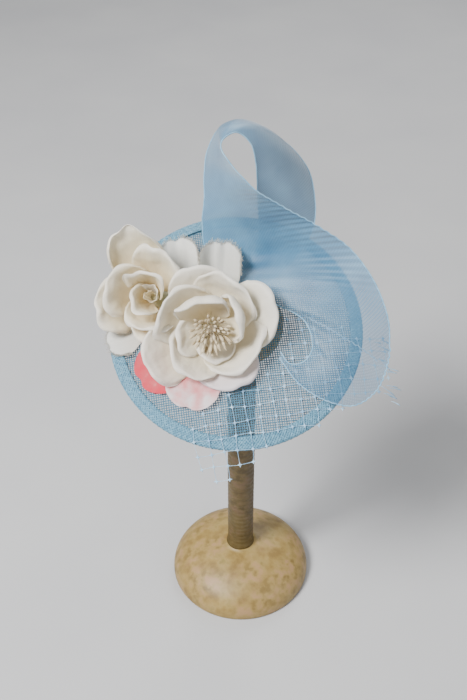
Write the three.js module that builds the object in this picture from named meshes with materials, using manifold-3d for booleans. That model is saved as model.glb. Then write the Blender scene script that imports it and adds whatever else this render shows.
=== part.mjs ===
// Floral headpiece on its display stand: a round sinamay saucer, tilted forward on a post,
// dressed with a looped crin band, a dotted veil, two silk flowers and loose petals.
// Units are millimetres and +Z is up. The origin is the middle of the stand's underside.
// The hat pieces are drawn in the hat's own frame: u to the right, v to the back, n off the saucer.
import * as THREE from "three";
import { mergeVertices } from "three/addons/utils/BufferGeometryUtils.js";
import Module from "manifold-3d";

const wasm = await Module();
wasm.setup();

const GAP = 0.3;
const HAT = { x: -6, y: -27, z: 378.7, tiltDeg: 30 };
const SAUCER = { radius: 116, rise: 14, wall: 1.6, rings: 5, sides: 48 };
const BINDING = { inner: 106.5, outer: 117.6, leaf: 1 };
const STAND = { baseRadius: 80, skirt: 5, baseHeight: 46.9, postRadius: 14.5, knobRadius: 40, sides: 28 };
const CRIN = { wall: 1, stepsPerRow: 2, columns: 5 };
const VEIL = { wall: 0.8, strand: 1.3, cell: 12.5, clearance: 1.2 };
const PETAL = { wall: 1, along: 5, across: 6, tuck: 2.9 };
const COMB = { width: 56, bar: 5, thick: 1.6, teeth: 9, toothLength: 30, toothWidth: 2.2, v: 62 };

const COLOUR = {
  sinamay: 0x2f9bb5,
  binding: 0x3aa6bd,
  crin: 0x8fbfdd,
  veil: 0xa9cdea,
  ivory: 0xf0ebdf,
  rose: 0xeee6d8,
  pink: 0xf0908c,
  frayed: 0xf4f2ea,
  stamen: 0xe3d3ae,
  calyx: 0x7f9a63,
  comb: 0xd8dde0,
  stand: 0xa8886c,
};

// Crin band, one row per section from the gather, up and over the loop, and round the swirl.
// Side 1 is the selvage nearest the viewer, side 2 the far selvage, and bulge lifts the middle.
const CRIN_ROWS = [
  { u1: 18, v1: 41, n1: 13.8, u2: 30, v2: 39, n2: 13.4, bulge: 0 },
  { u1: 20, v1: 62, n1: 33, u2: 51, v2: 55, n2: 26, bulge: 0 },
  { u1: 21, v1: 79, n1: 58, u2: 69, v2: 79, n2: 34, bulge: 3 },
  { u1: 19, v1: 95, n1: 84, u2: 74, v2: 102, n2: 42, bulge: 6 },
  { u1: 17, v1: 110, n1: 108, u2: 70, v2: 133, n2: 50, bulge: 9 },
  { u1: 12, v1: 120, n1: 122, u2: 57, v2: 153, n2: 58, bulge: 12 },
  { u1: 1, v1: 124, n1: 131, u2: 34, v2: 169, n2: 66, bulge: 14 },
  { u1: -9, v1: 116, n1: 136, u2: 7, v2: 177, n2: 71, bulge: 14 },
  { u1: -13, v1: 106, n1: 137, u2: -15, v2: 169, n2: 74, bulge: 12 },
  { u1: -7, v1: 95, n1: 133, u2: -26, v2: 146, n2: 73, bulge: 9 },
  { u1: 4, v1: 85, n1: 125, u2: -29, v2: 125, n2: 68, bulge: 6 },
  { u1: 18, v1: 76, n1: 115, u2: -29, v2: 103, n2: 60, bulge: 4 },
  { u1: 42, v1: 69, n1: 100, u2: -31, v2: 86, n2: 46, bulge: 3 },
  { u1: 70, v1: 61, n1: 84, u2: -29, v2: 69, n2: 31, bulge: 3 },
  { u1: 100, v1: 48, n1: 67, u2: -19, v2: 52, n2: 25, bulge: 4 },
  { u1: 122, v1: 23, n1: 53, u2: -5, v2: 40, n2: 23.5, bulge: 6 },
  { u1: 134, v1: -6, n1: 42, u2: 13, v2: 28, n2: 24.5, bulge: 8 },
  { u1: 136, v1: -30, n1: 32, u2: 36, v2: 12, n2: 27, bulge: 10 },
  { u1: 132, v1: -52, n1: 22, u2: 58, v2: -1, n2: 28, bulge: 9 },
  { u1: 122, v1: -69, n1: 14, u2: 67, v2: -16, n2: 26, bulge: 8 },
  { u1: 103, v1: -79, n1: 10, u2: 68, v2: -31, n2: 21, bulge: 7 },
  { u1: 79, v1: -74, n1: 11, u2: 60, v2: -41, n2: 18, bulge: 4 },
  { u1: 57, v1: -60, n1: 13, u2: 48, v2: -42, n2: 17, bulge: 2 },
  { u1: 40, v1: -38, n1: 16, u2: 40, v2: -31, n2: 18, bulge: 0 },
];

// Veil net: the run of square cells kept in each row, counted from the front corner of the net.
const VEIL_ORIGIN = { u: -37, v: -112, turnDeg: 9 };
const VEIL_ROWS = [
  { row: -3, from: 1, to: 1 },
  { row: -2, from: 0, to: 3 },
  { row: -1, from: 0, to: 4 },
  { row: 0, from: 0, to: 8 },
  { row: 1, from: 1, to: 10 },
  { row: 2, from: 3, to: 13 },
  { row: 3, from: 6, to: 14 },
  { row: 4, from: 7, to: 14 },
  { row: 5, from: 8, to: 14 },
];

// Petal layers, inner to outer: where the layer leaves the calyx and how far it leans out.
const BLOOM = { u: -23, v: -11, n: 22.5, frontTilt: 24, sideTilt: 2 };
const BLOOM_LAYERS = {
  inner: { radius: 7, height: 8, open: 36, spread: 10 },
  middle: { radius: 10, height: 5, open: 50, spread: 8 },
  outer: { radius: 13, height: 2, open: 61, spread: 6 },
};
const BLOOM_PETALS = [
  { name: "bloom_inner_back", layer: "inner", azimuth: 100, length: 38, halfWidth: 19, lip: -14, flat: 4 },
  { name: "bloom_inner_right", layer: "inner", azimuth: 10, length: 37, halfWidth: 18, lip: -14, flat: 4 },
  { name: "bloom_inner_left", layer: "inner", azimuth: 185, length: 37, halfWidth: 17, lip: -8, flat: 4 },
  { name: "bloom_inner_front", layer: "inner", azimuth: 275, length: 30, halfWidth: 16, lip: 0, flat: 4 },
  { name: "bloom_middle_back", layer: "middle", azimuth: 67, length: 47, halfWidth: 26, lip: 18, flat: 6 },
  { name: "bloom_middle_left", layer: "middle", azimuth: 152, length: 46, halfWidth: 24, lip: 18, flat: 6 },
  { name: "bloom_middle_low", layer: "middle", azimuth: 238, length: 45, halfWidth: 24, lip: 18, flat: 6 },
  { name: "bloom_middle_right", layer: "middle", azimuth: 325, length: 46, halfWidth: 25, lip: 18, flat: 6 },
  { name: "bloom_outer_back", layer: "outer", azimuth: 105, length: 49, halfWidth: 30, lip: 14, flat: 8 },
  { name: "bloom_outer_right", layer: "outer", azimuth: 18, length: 54, halfWidth: 30, lip: 14, flat: 8 },
  { name: "bloom_outer_low", layer: "outer", azimuth: 294, length: 48, halfWidth: 30, lip: 14, flat: 8 },
  { name: "bloom_outer_left", layer: "outer", azimuth: 209, length: 59, halfWidth: 28, lip: 14, flat: 8 },
];

const ROSE = { u: -74, v: 23, n: 15, frontTilt: 16, sideTilt: -8 };
const ROSE_LAYERS = {
  inner: { radius: 6, height: 8, open: 14, spread: 8 },
  middle: { radius: 9, height: 5, open: 28, spread: 10 },
  outer: { radius: 12, height: 2, open: 46, spread: 10 },
};
const ROSE_PETALS = [
  { name: "rose_inner_back", layer: "inner", azimuth: 95, length: 40, halfWidth: 17, lip: 30, flat: 1 },
  { name: "rose_inner_front", layer: "inner", azimuth: 235, length: 36, halfWidth: 16, lip: 30, flat: 1 },
  { name: "rose_middle_back", layer: "middle", azimuth: 72, length: 50, halfWidth: 22, lip: 30, flat: 3 },
  { name: "rose_middle_left", layer: "middle", azimuth: 165, length: 46, halfWidth: 22, lip: 30, flat: 3 },
  { name: "rose_middle_front", layer: "middle", azimuth: 262, length: 43, halfWidth: 20, lip: 30, flat: 3 },
  { name: "rose_outer_back", layer: "outer", azimuth: 108, length: 62, halfWidth: 26, lip: 24, flat: 5 },
  { name: "rose_outer_left", layer: "outer", azimuth: 189, length: 46, halfWidth: 24, lip: 24, flat: 5 },
  { name: "rose_outer_front", layer: "outer", azimuth: 272, length: 46, halfWidth: 23, lip: 24, flat: 5 },
];

// Loose petals that lie on the saucer: root, heading, size and their height over it at root and tip.
const LOOSE_PETALS = [
  { name: "pink_petal_left", colour: "pink", u: -32, v: -26, heading: 205, length: 64, halfWidth: 27,
    rootLift: 1.1, tipLift: 2.2, cup: 1 },
  { name: "pink_petal_front", colour: "pink", u: -28, v: -34, heading: 249, length: 52, halfWidth: 26,
    rootLift: 2.8, tipLift: 7, cup: 1 },
  { name: "frayed_petal_left", colour: "frayed", u: -84, v: -8, heading: 198, length: 36, halfWidth: 17,
    rootLift: 1.1, tipLift: 4, cup: 2 },
  { name: "frayed_petal_back", colour: "frayed", u: -50, v: 30, heading: 96, length: 56, halfWidth: 19,
    rootLift: 1.1, tipLift: 11, cup: 3 },
  { name: "frayed_petal_top", colour: "frayed", u: -18, v: 12, heading: 84, length: 53, halfWidth: 20,
    rootLift: 1.1, tipLift: 38, cup: 2 },
];

// Turns a triangle list that may wind inward so that it encloses a positive volume.
function facingOut(geometry) {
  const position = geometry.attributes.position;
  const index = geometry.index;
  const a = new THREE.Vector3();
  const b = new THREE.Vector3();
  const c = new THREE.Vector3();
  let volume = 0;
  for (let i = 0; i < index.count; i += 3) {
    a.fromBufferAttribute(position, index.getX(i));
    b.fromBufferAttribute(position, index.getX(i + 1));
    c.fromBufferAttribute(position, index.getX(i + 2));
    volume += a.dot(b.cross(c));
  }
  if (volume < 0) {
    for (let i = 0; i < index.count; i += 3) {
      const swap = index.getX(i);
      index.setX(i, index.getX(i + 2));
      index.setX(i + 2, swap);
    }
  }
  return geometry;
}

// Keeps positions only, welded, so that a solid closes on itself.
function welded(geometry) {
  const plain = new THREE.BufferGeometry();
  plain.setAttribute("position", geometry.attributes.position.clone());
  if (geometry.index) {
    plain.setIndex(geometry.index.clone());
  }
  const merged = mergeVertices(plain, 1e-4);
  const kept = [];
  for (let i = 0; i < merged.index.count; i += 3) {
    const corner = [merged.index.getX(i), merged.index.getX(i + 1), merged.index.getX(i + 2)];
    if (new Set(corner).size === 3) {
      kept.push(...corner);
    }
  }
  merged.setIndex(kept);
  return facingOut(merged);
}

// A solid turned about the vertical axis from [radius, height] points.
function turned(points, sides) {
  const profile = points.map(([radius, height]) => new THREE.Vector2(radius, height));
  const geometry = new THREE.LatheGeometry(profile, sides);
  geometry.rotateX(Math.PI / 2);
  return welded(geometry);
}

function toManifold(geometry) {
  const mesh = new wasm.Mesh({
    numProp: 3,
    vertProperties: new Float32Array(geometry.attributes.position.array),
    triVerts: new Uint32Array(geometry.index.array),
  });
  return new wasm.Manifold(mesh);
}

function fromManifold(solid) {
  const mesh = solid.getMesh();
  const geometry = new THREE.BufferGeometry();
  geometry.setAttribute("position", new THREE.BufferAttribute(new Float32Array(mesh.vertProperties), 3));
  geometry.setIndex(new THREE.BufferAttribute(new Uint32Array(mesh.triVerts), 1));
  return welded(geometry);
}

// A closed wall of even thickness about a grid of mid-surface points.
function walled(grid, thickness) {
  const rows = grid.length;
  const columns = grid[0].length;
  const position = [];
  const index = [];
  const half = thickness / 2;
  const clampRow = (i) => Math.min(Math.max(i, 0), rows - 1);
  const clampColumn = (j) => Math.min(Math.max(j, 0), columns - 1);
  const along = new THREE.Vector3();
  const across = new THREE.Vector3();
  for (const side of [1, -1]) {
    for (let i = 0; i < rows; i += 1) {
      for (let j = 0; j < columns; j += 1) {
        along.subVectors(grid[clampRow(i + 1)][j], grid[clampRow(i - 1)][j]);
        across.subVectors(grid[i][clampColumn(j + 1)], grid[i][clampColumn(j - 1)]);
        const normal = along.clone().cross(across).normalize();
        const point = grid[i][j].clone().addScaledVector(normal, side * half);
        position.push(point.x, point.y, point.z);
      }
    }
  }
  const at = (side, i, j) => side * rows * columns + i * columns + j;
  const quad = (a, b, c, d) => index.push(a, b, c, a, c, d);
  for (let i = 0; i < rows - 1; i += 1) {
    for (let j = 0; j < columns - 1; j += 1) {
      quad(at(0, i, j), at(0, i + 1, j), at(0, i + 1, j + 1), at(0, i, j + 1));
      quad(at(1, i, j), at(1, i, j + 1), at(1, i + 1, j + 1), at(1, i + 1, j));
    }
  }
  for (let i = 0; i < rows - 1; i += 1) {
    quad(at(0, i, 0), at(1, i, 0), at(1, i + 1, 0), at(0, i + 1, 0));
    quad(at(0, i, columns - 1), at(0, i + 1, columns - 1), at(1, i + 1, columns - 1), at(1, i, columns - 1));
  }
  for (let j = 0; j < columns - 1; j += 1) {
    quad(at(0, 0, j), at(0, 0, j + 1), at(1, 0, j + 1), at(1, 0, j));
    quad(at(0, rows - 1, j), at(1, rows - 1, j), at(1, rows - 1, j + 1), at(0, rows - 1, j + 1));
  }
  const geometry = new THREE.BufferGeometry();
  geometry.setAttribute("position", new THREE.Float32BufferAttribute(position, 3));
  geometry.setIndex(index);
  return facingOut(geometry);
}

// Height of the saucer's middle surface over its rim plane.
function saucerHeight(u, v) {
  const share = Math.hypot(u, v) / SAUCER.radius;
  return SAUCER.rise * (1 - share * share);
}

function saucerSolid() {
  const upper = [];
  const lower = [];
  for (let i = 0; i <= SAUCER.rings; i += 1) {
    const radius = (SAUCER.radius * i) / SAUCER.rings;
    upper.push([radius, saucerHeight(radius, 0) + SAUCER.wall / 2]);
    lower.unshift([radius, saucerHeight(radius, 0) - SAUCER.wall / 2]);
  }
  return turned([...upper, ...lower], SAUCER.sides);
}

// Everything under the saucer's upper face, grown by the gap, to seat pieces on it.
function saucerBelow() {
  const profile = [];
  for (let i = 0; i <= SAUCER.rings; i += 1) {
    const radius = (SAUCER.radius * i) / SAUCER.rings;
    profile.push([radius, saucerHeight(radius, 0) + SAUCER.wall / 2 + GAP]);
  }
  return turned([...profile, [SAUCER.radius, -60], [0, -60]], SAUCER.sides);
}

// Folded bias strip round the rim: an open channel in section, with the saucer's edge inside it.
function bindingSolid() {
  const inside = SAUCER.wall / 2 + GAP;
  const outside = inside + BINDING.leaf;
  const lip = SAUCER.radius + GAP;
  const innerHeight = saucerHeight(BINDING.inner, 0);
  const outerHeight = saucerHeight(lip, 0);
  const profile = [
    [BINDING.inner, innerHeight + inside],
    [BINDING.inner, innerHeight + outside],
    [lip, outerHeight + outside],
    [BINDING.outer, outerHeight + inside],
    [BINDING.outer, outerHeight - inside],
    [lip, outerHeight - outside],
    [BINDING.inner, innerHeight - outside],
    [BINDING.inner, innerHeight - inside],
    [lip, outerHeight - inside],
    [lip, outerHeight + inside],
    [BINDING.inner, innerHeight + inside],
  ];
  return turned(profile, SAUCER.sides);
}

function crinSolid() {
  const near = new THREE.CatmullRomCurve3(CRIN_ROWS.map((r) => new THREE.Vector3(r.u1, r.v1, r.n1)));
  const far = new THREE.CatmullRomCurve3(CRIN_ROWS.map((r) => new THREE.Vector3(r.u2, r.v2, r.n2)));
  const bulges = new THREE.CatmullRomCurve3(CRIN_ROWS.map((r) => new THREE.Vector3(r.bulge, 0, 0)));
  const steps = (CRIN_ROWS.length - 1) * CRIN.stepsPerRow;
  const grid = [];
  for (let i = 0; i <= steps; i += 1) {
    const first = near.getPoint(i / steps);
    const last = far.getPoint(i / steps);
    const bulge = bulges.getPoint(i / steps).x;
    const row = [];
    for (let j = 0; j <= CRIN.columns; j += 1) {
      const share = j / CRIN.columns;
      const point = first.clone().lerp(last, share);
      point.z += bulge * 4 * share * (1 - share);
      row.push(point);
    }
    grid.push(row);
  }
  return walled(grid, CRIN.wall);
}

// A point of the veil over the saucer, or hanging past its rim.
function veilPoint(u, v) {
  const reach = Math.hypot(u, v);
  const edge = BINDING.outer + VEIL.clearance;
  const nearRim = THREE.MathUtils.smoothstep(reach, BINDING.inner - VEIL.cell, BINDING.inner - 2);
  const lift = SAUCER.wall / 2 + VEIL.clearance + nearRim * (BINDING.leaf + GAP);
  if (reach <= edge) {
    return new THREE.Vector3(u, v, saucerHeight(u, v) + lift);
  }
  const radial = new THREE.Vector3(u / reach, v / reach, 0);
  const tilt = THREE.MathUtils.degToRad(HAT.tiltDeg);
  const down = new THREE.Vector3(0, -Math.sin(tilt), -Math.cos(tilt));
  const droop = 0.55 - 0.35 * radial.x;
  const hang = radial.clone().multiplyScalar(1 - droop).addScaledVector(down, droop).normalize();
  const rim = radial.clone().multiplyScalar(edge);
  rim.z = saucerHeight(edge, 0) + lift;
  return rim.addScaledVector(hang, reach - edge);
}

// One piece of net: square cells, each a frame of strands round an open gap.
function veilSolid() {
  const position = [];
  const index = [];
  const turn = THREE.MathUtils.degToRad(VEIL_ORIGIN.turnDeg);
  const node = (i, j) => {
    const a = i * VEIL.cell;
    const b = j * VEIL.cell;
    const u = VEIL_ORIGIN.u + a * Math.cos(turn) - b * Math.sin(turn);
    const v = VEIL_ORIGIN.v + a * Math.sin(turn) + b * Math.cos(turn);
    return veilPoint(u, v);
  };
  const normalAt = (i, j) => {
    const along = node(i + 0.5, j).sub(node(i - 0.5, j));
    const across = node(i, j + 0.5).sub(node(i, j - 0.5));
    return along.cross(across).normalize();
  };
  const known = new Map();
  const pair = (key, point, normal) => {
    if (!known.has(key)) {
      const start = position.length / 3;
      const upper = point.clone().addScaledVector(normal, VEIL.wall / 2);
      const lower = point.clone().addScaledVector(normal, -VEIL.wall / 2);
      position.push(upper.x, upper.y, upper.z, lower.x, lower.y, lower.z);
      known.set(key, { upper: start, lower: start + 1 });
    }
    return known.get(key);
  };
  const kept = new Set();
  for (const run of VEIL_ROWS) {
    for (let i = run.from; i <= run.to; i += 1) {
      kept.add(`${i},${run.row}`);
    }
  }
  const quad = (a, b, c, d) => index.push(a, b, c, a, c, d);
  const around = [[0, 0], [1, 0], [1, 1], [0, 1]];
  const beside = [[0, -1], [1, 0], [0, 1], [-1, 0]];
  const inset = VEIL.strand / 2 / VEIL.cell;
  for (const cell of kept) {
    const [i, j] = cell.split(",").map(Number);
    const corners = around.map(([di, dj]) => {
      const key = `${i + di},${j + dj}`;
      return pair(key, node(i + di, j + dj), normalAt(i + di, j + dj));
    });
    const holes = around.map(([di, dj], k) => {
      const hi = i + (di ? 1 - inset : inset);
      const hj = j + (dj ? 1 - inset : inset);
      const flat = new THREE.Vector3();
      for (const [ci, cj] of around) {
        const share = (ci ? hi - i : 1 - hi + i) * (cj ? hj - j : 1 - hj + j);
        flat.addScaledVector(node(i + ci, j + cj), share);
      }
      return pair(`${cell}:${k}`, flat, normalAt(i + di, j + dj));
    });
    for (let k = 0; k < 4; k += 1) {
      const next = (k + 1) % 4;
      quad(corners[k].upper, corners[next].upper, holes[next].upper, holes[k].upper);
      quad(corners[k].lower, holes[k].lower, holes[next].lower, corners[next].lower);
      quad(holes[k].upper, holes[next].upper, holes[next].lower, holes[k].lower);
      const [si, sj] = beside[k];
      if (!kept.has(`${i + si},${j + sj}`)) {
        quad(corners[k].upper, corners[k].lower, corners[next].lower, corners[next].upper);
      }
    }
  }
  const geometry = new THREE.BufferGeometry();
  geometry.setAttribute("position", new THREE.Float32BufferAttribute(position, 3));
  geometry.setIndex(index);
  return facingOut(geometry);
}

// Half-width of a petal along its length: a narrow root, widest near two thirds, a blunt tip.
function petalWidth(t, root, widest) {
  return root + (widest - root) * Math.sin(0.74 * Math.PI * t) ** 1.1;
}

// A petal on a surface turned about the flower's axis, leaning out by the layer's angles.
function petalSolid(petal, layer) {
  const profile = [{ radius: layer.radius, height: layer.height }];
  const fine = 60;
  for (let k = 1; k <= fine; k += 1) {
    const t = (k - 0.5) / fine;
    const curl = petal.lip * Math.max(0, (t - 0.6) / 0.4) ** 1.5;
    const lean = THREE.MathUtils.degToRad(layer.open + layer.spread * t + curl);
    const last = profile[k - 1];
    const step = petal.length / fine;
    profile.push({
      radius: last.radius + step * Math.sin(lean),
      height: last.height + step * Math.cos(lean),
    });
  }
  const at = (t) => {
    const place = Math.min(t, 1) * fine;
    const k = Math.min(Math.floor(place), fine - 1);
    const share = place - k;
    return {
      radius: profile[k].radius * (1 - share) + profile[k + 1].radius * share,
      height: profile[k].height * (1 - share) + profile[k + 1].height * share,
    };
  };
  const azimuth = THREE.MathUtils.degToRad(petal.azimuth);
  const grid = [];
  for (let i = 0; i <= PETAL.along; i += 1) {
    const row = [];
    for (let j = 0; j <= PETAL.across; j += 1) {
      const t = i / PETAL.along;
      const s = (2 * j) / PETAL.across - 1;
      const spot = at(t * (1 - 0.26 * t * s ** 4 - 0.05 * t * s ** 2));
      const bend = spot.radius + petal.flat + PETAL.tuck * s * Math.min(1, 3 * t);
      const turn = (s * petalWidth(t, 0.6 * layer.radius, petal.halfWidth)) / bend;
      const out = bend * Math.cos(turn) - petal.flat;
      const aside = bend * Math.sin(turn);
      const x = out * Math.cos(azimuth) - aside * Math.sin(azimuth);
      const y = out * Math.sin(azimuth) + aside * Math.cos(azimuth);
      row.push(new THREE.Vector3(x, y, spot.height));
    }
    grid.push(row);
  }
  return walled(grid, PETAL.wall);
}

// A loose petal that follows the saucer's dome.
function looseSolid(petal) {
  const heading = THREE.MathUtils.degToRad(petal.heading);
  const grid = [];
  for (let i = 0; i <= PETAL.along; i += 1) {
    const row = [];
    for (let j = 0; j <= PETAL.across; j += 1) {
      const t = i / PETAL.along;
      const s = (2 * j) / PETAL.across - 1;
      const along = petal.length * t * (1 - 0.26 * t * s ** 4 - 0.05 * t * s ** 2);
      const across = s * petalWidth(t, petal.halfWidth / 4, petal.halfWidth);
      const u = petal.u + along * Math.cos(heading) - across * Math.sin(heading);
      const v = petal.v + along * Math.sin(heading) + across * Math.cos(heading);
      const lift = petal.rootLift + (petal.tipLift - petal.rootLift) * t ** 1.5 + petal.cup * t * s * s;
      row.push(new THREE.Vector3(u, v, saucerHeight(u, v) + SAUCER.wall / 2 + lift));
    }
    grid.push(row);
  }
  return walled(grid, PETAL.wall);
}

// Green cone under a flower that holds its petals, trimmed to the saucer's dome.
function calyxSolid(frame, layers) {
  const foot = layers.outer.radius + layers.outer.height - PETAL.wall;
  const top = layers.inner.height + 1;
  const tip = layers.inner.radius - PETAL.wall - 1;
  const cone = turned([[0, -24], [foot, -24], [foot, 0], [tip, top], [0, top]], 24);
  cone.applyMatrix4(frame);
  return fromManifold(toManifold(cone).subtract(toManifold(saucerBelow())));
}

// Bundle of stamens: a low button with tapered stalks that end in drops.
function stamenSolid() {
  const base = BLOOM_LAYERS.inner.height + 1 + GAP;
  const button = turned([[0, base], [4.6, base], [4.2, base + 3], [2.4, base + 5], [0, base + 5.5]], 16);
  let bundle = toManifold(button);
  const count = 19;
  const golden = Math.PI * (3 - Math.sqrt(5));
  for (let k = 0; k < count; k += 1) {
    const share = Math.sqrt((k + 0.5) / count);
    const lean = THREE.MathUtils.degToRad(32 * share);
    const length = 25 - 5 * share + 2 * Math.sin(k * 2.4);
    const stalk = [[0, 0], [0.7, 0], [0.6, length - 5], [1.5, length - 1.6], [0.9, length], [0, length]];
    const stamen = turned(stalk, 5);
    const direction = new THREE.Vector3(
      Math.sin(lean) * Math.cos(k * golden),
      Math.sin(lean) * Math.sin(k * golden),
      Math.cos(lean),
    );
    stamen.applyQuaternion(new THREE.Quaternion().setFromUnitVectors(new THREE.Vector3(0, 0, 1), direction));
    stamen.translate(direction.x * 3, direction.y * 3, base + 1.5);
    bundle = bundle.add(toManifold(stamen));
  }
  return fromManifold(bundle);
}

// Plain comb under the saucer that holds the headpiece in the hair.
function combSolid() {
  const ceiling = (v) => saucerHeight(COMB.width / 2, v) - SAUCER.wall / 2 - GAP;
  const front = COMB.v - COMB.bar / 2;
  const bar = new THREE.BoxGeometry(COMB.width, COMB.bar, COMB.thick);
  const level = Math.min(ceiling(front), ceiling(COMB.v + COMB.bar / 2)) - COMB.thick / 2;
  bar.translate(0, COMB.v, level);
  let comb = toManifold(welded(bar));
  const pitch = (COMB.width - COMB.toothWidth) / (COMB.teeth - 1);
  for (let k = 0; k < COMB.teeth; k += 1) {
    const tooth = new THREE.BoxGeometry(COMB.toothWidth, COMB.toothLength, COMB.thick);
    tooth.translate(0, COMB.toothLength / 2, 0);
    tooth.rotateX(THREE.MathUtils.degToRad(-12));
    tooth.translate(k * pitch - (COMB.width - COMB.toothWidth) / 2, COMB.v, level);
    comb = comb.add(toManifold(welded(tooth)));
  }
  return fromManifold(comb);
}

function standBase() {
  const profile = [[0, 0], [STAND.baseRadius - 2, 0], [STAND.baseRadius, 2], [STAND.baseRadius, STAND.skirt]];
  const steps = 7;
  for (let k = 1; k <= steps; k += 1) {
    const angle = ((Math.PI / 2) * k) / (steps + 1);
    const rise = (STAND.baseHeight - STAND.skirt) * Math.sin(angle);
    profile.push([STAND.baseRadius * Math.cos(angle), STAND.skirt + rise]);
  }
  profile.push([STAND.postRadius + 1, STAND.baseHeight]);
  profile.push([0, STAND.baseHeight]);
  return turned(profile, STAND.sides);
}

// Height of the round knob's middle when it meets the saucer's underside.
function knobCentre() {
  const tilt = THREE.MathUtils.degToRad(HAT.tiltDeg);
  let z = HAT.z;
  for (let k = 0; k < 8; k += 1) {
    const v = -HAT.y * Math.cos(tilt) + (z - HAT.z) * Math.sin(tilt);
    const touch = saucerHeight(-HAT.x, v) - SAUCER.wall / 2 - GAP - STAND.knobRadius;
    z = HAT.z + (touch + -HAT.y * Math.sin(tilt)) / Math.cos(tilt);
  }
  return z;
}

function standKnob(centre) {
  const profile = [];
  const steps = 9;
  const under = -0.75;
  for (let k = 0; k <= steps; k += 1) {
    const angle = Math.asin(under) + ((Math.PI / 2 - Math.asin(under)) * k) / steps;
    const radius = k === steps ? 0 : STAND.knobRadius * Math.cos(angle);
    profile.push([radius, centre + STAND.knobRadius * Math.sin(angle)]);
  }
  return turned([[0, centre + STAND.knobRadius * under], ...profile], STAND.sides);
}

function standPost(centre) {
  const low = STAND.baseHeight + GAP;
  const high = centre - STAND.knobRadius * 0.75 - GAP;
  return turned([[0, low], [STAND.postRadius, low], [STAND.postRadius, high], [0, high]], STAND.sides);
}

function named(name, geometry, colour, roughness) {
  const faceted = geometry.toNonIndexed();
  faceted.computeVertexNormals();
  const material = new THREE.MeshStandardMaterial({ color: COLOUR[colour], roughness, metalness: 0 });
  material.name = colour;
  const mesh = new THREE.Mesh(faceted, material);
  mesh.name = name;
  return mesh;
}

// Where a flower stands in the hat's frame, leaning to the front and to one side.
function flowerFrame(flower) {
  const lean = new THREE.Euler(
    THREE.MathUtils.degToRad(flower.frontTilt),
    THREE.MathUtils.degToRad(flower.sideTilt),
    0,
  );
  const frame = new THREE.Matrix4().makeRotationFromEuler(lean);
  frame.setPosition(flower.u, flower.v, flower.n);
  return frame;
}

const part = new THREE.Group();
part.name = "floral_headpiece";
const centre = knobCentre();
part.add(named("stand_base", standBase(), "stand", 0.7));
part.add(named("stand_post", standPost(centre), "stand", 0.7));
part.add(named("stand_knob", standKnob(centre), "stand", 0.7));

const hat = new THREE.Group();
hat.name = "hat";
hat.position.set(HAT.x, HAT.y, HAT.z);
hat.rotation.x = THREE.MathUtils.degToRad(HAT.tiltDeg);
part.add(hat);
hat.add(named("saucer", saucerSolid(), "sinamay", 0.75));
hat.add(named("edge_binding", bindingSolid(), "binding", 0.7));
hat.add(named("crin_band", crinSolid(), "crin", 0.45));
hat.add(named("veil", veilSolid(), "veil", 0.6));
hat.add(named("hair_comb", combSolid(), "comb", 0.3));

for (const petal of LOOSE_PETALS) {
  hat.add(named(petal.name, looseSolid(petal), petal.colour, 0.65));
}

const bloomFrame = flowerFrame(BLOOM);
hat.add(named("bloom_calyx", calyxSolid(bloomFrame, BLOOM_LAYERS), "calyx", 0.7));
hat.add(named("bloom_stamens", stamenSolid().applyMatrix4(bloomFrame), "stamen", 0.6));
for (const petal of BLOOM_PETALS) {
  const solid = petalSolid(petal, BLOOM_LAYERS[petal.layer]).applyMatrix4(bloomFrame);
  hat.add(named(petal.name, solid, "ivory", 0.6));
}

const roseFrame = flowerFrame(ROSE);
hat.add(named("rose_calyx", calyxSolid(roseFrame, ROSE_LAYERS), "calyx", 0.7));
for (const petal of ROSE_PETALS) {
  const solid = petalSolid(petal, ROSE_LAYERS[petal.layer]).applyMatrix4(roseFrame);
  hat.add(named(petal.name, solid, "rose", 0.6));
}

export default part;
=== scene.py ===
import math
import random

import bpy
from mathutils import Euler, Matrix, Vector
from mathutils import noise as field


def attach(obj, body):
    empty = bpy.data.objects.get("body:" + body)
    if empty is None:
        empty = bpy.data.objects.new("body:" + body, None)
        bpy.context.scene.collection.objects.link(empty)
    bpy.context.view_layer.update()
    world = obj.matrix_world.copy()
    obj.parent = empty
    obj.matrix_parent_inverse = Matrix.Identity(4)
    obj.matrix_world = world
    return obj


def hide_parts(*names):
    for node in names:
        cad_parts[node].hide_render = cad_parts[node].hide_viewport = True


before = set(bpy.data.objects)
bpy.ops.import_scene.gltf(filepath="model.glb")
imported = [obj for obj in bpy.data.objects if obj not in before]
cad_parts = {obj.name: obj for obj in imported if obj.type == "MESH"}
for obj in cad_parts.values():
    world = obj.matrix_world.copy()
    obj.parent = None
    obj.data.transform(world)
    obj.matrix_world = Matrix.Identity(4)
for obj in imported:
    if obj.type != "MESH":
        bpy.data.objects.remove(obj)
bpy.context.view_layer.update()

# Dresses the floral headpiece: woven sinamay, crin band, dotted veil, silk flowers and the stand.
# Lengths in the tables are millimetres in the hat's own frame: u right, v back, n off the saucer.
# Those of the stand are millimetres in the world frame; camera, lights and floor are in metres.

RNG = random.Random(7)
MM = 0.001

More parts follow.
